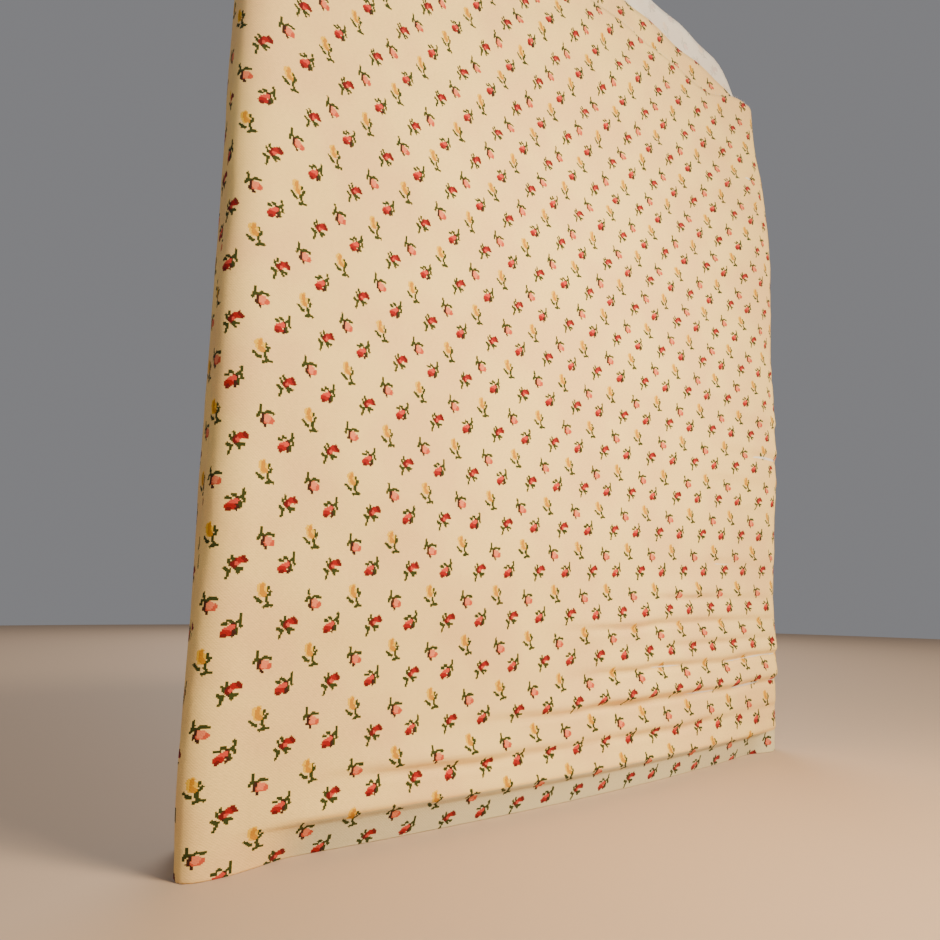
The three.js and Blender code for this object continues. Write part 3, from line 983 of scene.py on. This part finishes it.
lap_columns = steps(
    (SECOND_START, 0, 4 * MM), (0, face, 4.5 * MM), (face, face + fold, 3 * MM),
    (face + fold, lap + SECOND_START, 8 * MM),
)
lap_rows = steps((0, 0.25, 0.012), (0.25, 0.9, 0.025), (0.9, 1.0, 0.01))
second_depth = np.full_like(lap_columns, -SECOND_DEPTH)
second_printed = plain_ply(
    "second_turn_cloth", lap_columns, lap_rows,
    second_top(lap_columns, PRINTED_PROUD, PRINTED_CORNER), second_depth, PRINTED, REVERSE,
)
second_lining = plain_ply(
    "second_turn_lining", lap_columns, lap_rows,
    second_top(lap_columns, REVERSE_PROUD, REVERSE_CORNER), second_depth - SECOND_GAP, REVERSE, PRINTED,
)

# %% [markdown]
# ## The inner turns
# Below these lie the rest of the turns, one doubled cloth wound from the board outwards. That is a
# shape with a rule: a hairpin section that goes round and round the same outline, a step further in
# with each lap. Geometry Nodes make it from a flat grid. One way of the grid is the way along the
# cloth, the other goes down one ply, round the foot and up the other.

# %% A helper that turns node trees into plain meshes
def new_geometry_tree(name, inputs):
    """A geometry tree with named inputs given as (name, socket type, default)."""
    tree = bpy.data.node_groups.new(name, "GeometryNodeTree")
    tree.interface.new_socket("Geometry", in_out="INPUT", socket_type="NodeSocketGeometry")
    for title, kind, default in inputs:
        socket = tree.interface.new_socket(title, in_out="INPUT", socket_type="NodeSocket" + kind)
        if default is not None:
            socket.default_value = default
    tree.interface.new_socket("Geometry", in_out="OUTPUT", socket_type="NodeSocketGeometry")
    build = Tree(tree)
    return build, build.add("NodeGroupInput").outputs


def close_geometry_tree(build, geometry, material):
    """Ends a tree in Realize Instances and Set Material."""
    real = build.add("GeometryNodeRealizeInstances", {"Geometry": geometry})
    dressed = build.add("GeometryNodeSetMaterial", {"Geometry": real.outputs[0], "Material": material})
    build.add("NodeGroupOutput", {"Geometry": dressed.outputs[0]})


def grow(name, tree, values, start=None):
    """The plain mesh that a tree makes from a starting mesh and these input values."""
    carrier = link(bpy.data.objects.new(name, start or bpy.data.meshes.new(name)))
    modifier = carrier.modifiers.new("nodes", "NODES")
    modifier.node_group = tree
    for item in tree.interface.items_tree:
        if item.in_out == "INPUT" and item.name in values:
            modifier[item.identifier] = values[item.name]
    evaluated = carrier.evaluated_get(bpy.context.evaluated_depsgraph_get())
    mesh = bpy.data.meshes.new_from_object(evaluated)
    mesh.name = name
    bpy.data.objects.remove(carrier)
    return mesh


# %% The winding tree
FILLET_POINTS, TRACK_POINTS = 24, 700
FOOT_POWER = 1.5  # above 1, rows crowd towards the foot
HAIRPIN_SHARPNESS = 14.0  # how soon the two plies lie a full gap apart
NOISE_PER_PLY, NOISE_PER_LAP = 3.7, 1.3


def limited(build, value, limit):
    """The value, kept between -limit and limit."""
    return build.math("MAXIMUM", build.math("MINIMUM", value, limit), -limit)


def make_winding_tree():
    build, given = new_geometry_tree("doubled_winding", [
        ("Width", "Float", 0.28), ("Depth", "Float", 0.03), ("Corner", "Float", 0.012),
        ("Middle", "Float", 0.0), ("Height", "Float", 0.34), ("Laps", "Float", 5.0),
        ("Pitch", "Float", 0.001), ("Gap", "Float", 0.0005), ("Along", "Int", 600), ("Up", "Int", 30),
        ("Stagger", "Float", 0.002), ("Material", "Material", None),
    ])
    outline = build.add("GeometryNodeCurvePrimitiveQuadrilateral", {
        "Width": given["Width"], "Height": given["Depth"],
    })
    rounded = build.add("GeometryNodeFilletCurve", {
        "Curve": outline.outputs[0], "Radius": given["Corner"], "Count": FILLET_POINTS,
    }, mode="POLY")
    track = build.add("GeometryNodeResampleCurve", {"Curve": rounded.outputs[0], "Count": TRACK_POINTS})
    grid = build.add("GeometryNodeMeshGrid", {
        "Size X": 1.0, "Size Y": 1.0, "Vertices X": given["Along"], "Vertices Y": given["Up"],
    })
    place = build.split(build.add("GeometryNodeInputPosition").outputs[0])
    turned = build.times(build.plus(place[0], 0.5), given["Laps"])
    sample = build.add("GeometryNodeSampleCurve", {
        "Curves": track.outputs[0], "Factor": build.math("FRACT", turned),
    }, mode="FACTOR")
    at, tangent = sample.outputs["Position"], sample.outputs["Tangent"]
    side = build.vector("CROSS_PRODUCT", tangent, (0.0, 0.0, 1.0))
    outward = build.math("SIGN", build.vector("DOT_PRODUCT", side, at))
    # down one ply, round the foot, up the other: -1 to 1, with most rows near the foot
    way = build.times(place[1], 2.0)
    ply = build.math("SIGN", way)
    height_share = build.math("POWER", build.math("ABSOLUTE", way), FOOT_POWER)
    opened = limited(build, build.times(way, HAIRPIN_SHARPNESS), 1.0)
    across = build.times(opened, given["Gap"])
    inset = build.minus(build.times(turned, given["Pitch"]), across)
    push = build.times(build.times(inset, outward), -1.0)
    pushed = build.scaled(side, push)
    moved = build.vector("ADD", at, pushed)
    # each ply of each lap ends at a height of its own
    ply_number = build.times_plus(build.math("FLOOR", turned), 2.0, ply)
    by_ply = build.times(ply_number, NOISE_PER_PLY)
    by_lap = build.times(turned, NOISE_PER_LAP)
    uneven = build.add("ShaderNodeTexNoise", {"Vector": build.join(by_ply, by_lap), "Scale": 1.0})
    raised = build.minus(uneven.outputs[0], 0.5)
    tall = build.times_plus(raised, given["Stagger"], given["Height"])
    height = build.times(height_share, tall)
    lift = build.add("ShaderNodeCombineXYZ", {1: given["Middle"], 2: height}).outputs[0]
    # the map is kept from the flat grid, before its points are moved: each lap is shorter by the pitch
    length = build.add("GeometryNodeCurveLength", {"Curve": track.outputs[0]}).outputs[0]
    shorter = build.times(given["Pitch"], math.pi)
    lost = build.times(build.times(turned, turned), shorter)
    distance = build.minus(build.times(turned, length), lost)
    mapped = build.add("GeometryNodeStoreNamedAttribute", {
        "Geometry": grid.outputs["Mesh"], "Name": "cloth",
        "Value": build.join(distance, build.times(height, ply)),
    }, data_type="FLOAT2", domain="CORNER")
    placed = build.add("GeometryNodeSetPosition", {
        "Geometry": mapped.outputs[0], "Position": build.vector("ADD", moved, lift),
    })
    close_geometry_tree(build, placed.outputs[0], given["Material"])
    return build.tree


LAPS = 6.0
FIRST_LAYER = 0.8 * MM  # the innermost turn's distance from the board
inner_depth = float(inner_high[1] - inner_low[1])
inner_width = float(inner_high[0] - inner_low[0])
LAST_LAYER = 0.6 * MM  # the outermost turn's distance from the outside of them all
TOP_GAP, STAGGER = 1.5 * MM, 5 * MM
GAP_SHARE = 0.22  # of the pitch, from the middle of a doubled layer to each ply
GRID_ALONG, GRID_UP = 960, 31
pitch = ((inner_depth / 2 - BOARD_HALF_DEPTH * MM) - FIRST_LAYER - LAST_LAYER) / LAPS
winding = grow("inner_turns_cloth", make_winding_tree(), {
    "Width": inner_width - 2 * LAST_LAYER, "Depth": inner_depth - 2 * LAST_LAYER,
    "Corner": inner_depth / 2 - LAST_LAYER - FOLD_FLAT, "Middle": middle_y,
    "Height": float(inner_high[2]) - TOP_GAP, "Laps": LAPS, "Pitch": pitch, "Gap": GAP_SHARE * pitch,
    "Along": GRID_ALONG, "Up": GRID_UP, "Stagger": STAGGER, "Material": PRINTED,
})
spots = np.empty(len(winding.vertices) * 3)
winding.vertices.foreach_get("co", spots)
spots = settle(spots.reshape(-1, 3))
spots[:, 2] += PLY
winding.vertices.foreach_set("co", spots.ravel())
winding.polygons.foreach_set("use_smooth", np.ones(len(winding.polygons), bool))
inner_turns = thicken("inner_turns_cloth", winding, PRINTED, REVERSE)

# %% [markdown]
# ## Frayed edges
# A cut edge sheds short threads. Each raw edge is given to a node tree as a line of points; the tree
# spaces threads along it, bends each one, and turns and stretches it at random.

# %% The fray tree
STRAND = {"Start": (0.0, 0.0, 0.0), "Middle": (0.25, 0.1, 0.6), "End": (0.1, -0.2, 1.0)}
SHORTEST, LONGEST = 0.25, 1.0
MOST_TURNED = (1.0, 1.0, 3.1)  # radians, before the first two are spread
LEAST_TURNED = (-1.0, -1.0, -3.1)


def make_fray_tree():
    build, given = new_geometry_tree("frayed_edge", [
        ("Spacing", "Float", 0.001), ("Thread", "Float", 0.00007), ("Length", "Float", 0.002),
        ("Lean", "Vector", (0, 0, 1)), ("Spread", "Float", 0.5), ("Seed", "Int", 1),
        ("Material", "Material", None),
    ])
    line = build.add("GeometryNodeMeshToCurve", {"Mesh": given["Geometry"]})
    spaced = build.add("GeometryNodeResampleCurve", {
        "Curve": line.outputs[0], "Length": given["Spacing"],
    }, mode="LENGTH")
    strand = build.add("GeometryNodeCurveQuadraticBezier", {"Resolution": 4, **STRAND})
    length, spread = given["Length"], given["Spread"]
    long = build.add("ShaderNodeCombineXYZ", {0: length, 1: length, 2: length})
    sized = build.add("GeometryNodeTransform", {"Geometry": strand.outputs[0], "Scale": long.outputs[0]})
    section = build.add("GeometryNodeCurvePrimitiveCircle", {"Resolution": 3, "Radius": given["Thread"]})
    tube = build.add("GeometryNodeCurveToMesh", {
        "Curve": sized.outputs[0], "Profile Curve": section.outputs[0], "Fill Caps": True,
    })
    turn = build.add("FunctionNodeRandomValue", {
        "Min": LEAST_TURNED, "Max": MOST_TURNED, "Seed": given["Seed"],
    }, data_type="FLOAT_VECTOR")
    spreading = build.add("ShaderNodeCombineXYZ", {0: spread, 1: spread, 2: 1.0})
    scaled_turn = build.vector("MULTIPLY", turn.outputs[0], spreading.outputs[0])
    upright = build.add("FunctionNodeAlignRotationToVector", {"Vector": given["Lean"]}, axis="Z")
    tilt = build.add("FunctionNodeEulerToRotation", {"Euler": scaled_turn})
    both = build.add("FunctionNodeRotateRotation", {
        "Rotation": upright.outputs[0], "Rotate By": tilt.outputs[0],
    }, rotation_space="LOCAL")
    size = build.add("FunctionNodeRandomValue", {
        2: SHORTEST, 3: LONGEST, "Seed": given["Seed"],
    }, data_type="FLOAT")
    threads = build.add("GeometryNodeInstanceOnPoints", {
        "Points": spaced.outputs[0], "Instance": tube.outputs[0],
        "Rotation": both.outputs[0], "Scale": size.outputs[1],
    })
    close_geometry_tree(build, threads.outputs[0], given["Material"])
    return build.tree


FRAY_TREE = make_fray_tree()
THREAD_RADIUS = 0.06 * MM
TAIL_EDGE_POINTS = 120


def fray(name, edge, lean, length, seed, spacing):
    """Threads along an edge given as points (n, 3), leaning one way."""
    line = bpy.data.meshes.new(name + "_line")
    line.from_pydata(edge.tolist(), [(k, k + 1) for k in range(len(edge) - 1)], [])
    mesh = grow(name, FRAY_TREE, {
        "Spacing": spacing, "Thread": THREAD_RADIUS, "Length": length, "Lean": lean,
        "Seed": seed, "Material": REVERSE,
    }, line)
    return link(bpy.data.objects.new(name, mesh))


def front_edge():
    """Points just below the raw upper edge of the outer turn, from the left fold on."""
    along = fine_columns[fine_columns > -fold]
    heights = outer_top(along)[:, None] - 0.15 * MM
    return stand(along, heights, under_tail(along))[0][:, 0]


def tail_side_edge():
    """Points up the cut edge at the end of the tail."""
    top = float(tail_top(np.array([tail_edge]))[0])
    heights = np.linspace(2 * MM, top - 0.5 * MM, TAIL_EDGE_POINTS)[:, None]
    along = np.full(TAIL_EDGE_POINTS, tail_edge)
    offset = np.full(TAIL_EDGE_POINTS, TAIL_LIFT - PLY / 2)
    return stand(along, heights, offset)[0][:, 0]


front_fray = fray("front_edge_threads", front_edge(), (0, 0, 1), 1.6 * MM, seed=4, spacing=1.3 * MM)
tail_fray = fray("tail_edge_threads", tail_side_edge(), (-1, 0, 0), 3.0 * MM, seed=7, spacing=0.9 * MM)
print("threads:", len(front_fray.data.polygons) + len(tail_fray.data.polygons), "faces")

# %% [markdown]
# ## T-pins
# The tail is held by three bent-wire pins. Each is one wire: a straight shank with a ground point,
# and a crossways head. Swept circles make both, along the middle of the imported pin.

# %% Pins
ACROSS = (0.31, 0.87, 0.37)  # any direction that no wire runs along


def swept_tube(name, centres, radii, material, sides=16):
    """A closed tube through centres (n, 3) with a radius at each."""
    centres = np.asarray(centres, float)
    mesh = bpy.data.meshes.new(name)
    heading = np.gradient(centres, axis=0)
    heading /= np.linalg.norm(heading, axis=1)[:, None]
    first = np.cross(heading, ACROSS)
    first /= np.linalg.norm(first, axis=1)[:, None]
    second = np.cross(heading, first)
    turn = np.linspace(0, 2 * math.pi, sides, endpoint=False)
    ring = first[:, None] * np.cos(turn)[None, :, None] + second[:, None] * np.sin(turn)[None, :, None]
    points = (centres[:, None] + ring * np.asarray(radii)[:, None, None]).reshape(-1, 3)
    faces = []
    for k in range(len(centres) - 1):
        for j in range(sides):
            a, b = k * sides + j, k * sides + (j + 1) % sides
            faces.append((a, b, b + sides, a + sides))
    faces.append(tuple(range(sides))[::-1])
    faces.append(tuple((len(centres) - 1) * sides + j for j in range(sides)))
    mesh.from_pydata(points.tolist(), [], faces)
    mesh.materials.append(material)
    mesh.polygons.foreach_set("use_smooth", np.ones(len(mesh.polygons), bool))
    return mesh


WIRE_RADIUS, HEAD_RADIUS = 0.5 * MM, 0.8 * MM
POINT_LENGTH = 5 * MM
PIN_DIP = math.radians(4.0)
# the ground point, as shares of its length still to come and of the wire's radius there
POINT_SHARES, POINT_RADII = np.array([0.6, 0.3, 0.1, 0.0]), [0.75, 0.45, 0.2, 0.04]
SHANK_RINGS = 6
# the head, as shares of its half length and of its radius there
HEAD_SHARES = np.array([-1, -0.97, -0.9, -0.5, 0, 0.5, 0.9, 0.97, 1.0])
HEAD_RADII = np.array([0.3, 0.8, 1, 1, 1, 1, 1, 0.8, 0.3])


def joined(first, second):
    """The first object, with the second one's mesh joined to it."""
    both = [first, second]
    with bpy.context.temp_override(
        active_object=first, object=first, selected_editable_objects=both, selected_objects=both
    ):
        bpy.ops.object.join()
    return first


def make_pin(name, node):
    """A T-pin in the place of a packed one."""
    low, high = (np.array(corner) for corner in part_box(node))
    head = np.array([high[0] - HEAD_RADIUS, high[1] - HEAD_RADIUS, (low[2] + high[2]) / 2])
    reach = (high[0] - low[0] - 2 * HEAD_RADIUS) / math.cos(PIN_DIP)
    away = np.array([-math.cos(PIN_DIP), -math.sin(PIN_DIP), 0])
    straight = np.linspace(0, reach - POINT_LENGTH, SHANK_RINGS)
    along = np.append(straight, reach - POINT_LENGTH * POINT_SHARES)
    radii = WIRE_RADIUS * np.array([1] * SHANK_RINGS + POINT_RADII)
    shank = swept_tube(name, head + away * along[:, None], radii, WIRE)
    across = HEAD_SHARES * (high[2] - low[2]) / 2
    bar_centres = head + np.array([0, 0, 1.0]) * across[:, None]
    bar = swept_tube(name + "_head", bar_centres, HEAD_RADIUS * HEAD_RADII, WIRE)
    shank_object = link(bpy.data.objects.new(name, shank))
    return joined(shank_object, link(bpy.data.objects.new(name + "_head", bar)))


pins = {end: make_pin(f"t_pin_{end}", f"tail_pin_{end}") for end in ("top", "middle", "bottom")}
print(len(pins), "pins")

# %% [markdown]
# ## Hand every piece to the frame
# Each piece stands for the imported node of its place, and all but the tail's two plies ride on the
# imported body they belong to. Those two are fixed where they are made.

# %% Rides and sheets
turn_length = SEAM - TURN_START
for piece, node, length in (
    (outer_turn, "outer_turn_printed_ply", turn_length),
    (outer_lining, "outer_turn_reverse_ply", turn_length),
    (second_printed, "second_turn_printed_ply", lap),
    (second_lining, "second_turn_reverse_ply", lap),
):
    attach(piece, "wound_bolt")
    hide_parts(node)

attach(inner_turns, "wound_bolt")
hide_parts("inner_turns")
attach(front_fray, "wound_bolt")

for piece, node in ((tail, "tail_printed_ply"), (tail_lining, "tail_reverse_ply")):
    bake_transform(piece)
    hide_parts(node)
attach(tail_fray, "tail")

for end, pin in pins.items():
    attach(pin, f"{end}_pin")
    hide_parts(f"tail_pin_{end}")
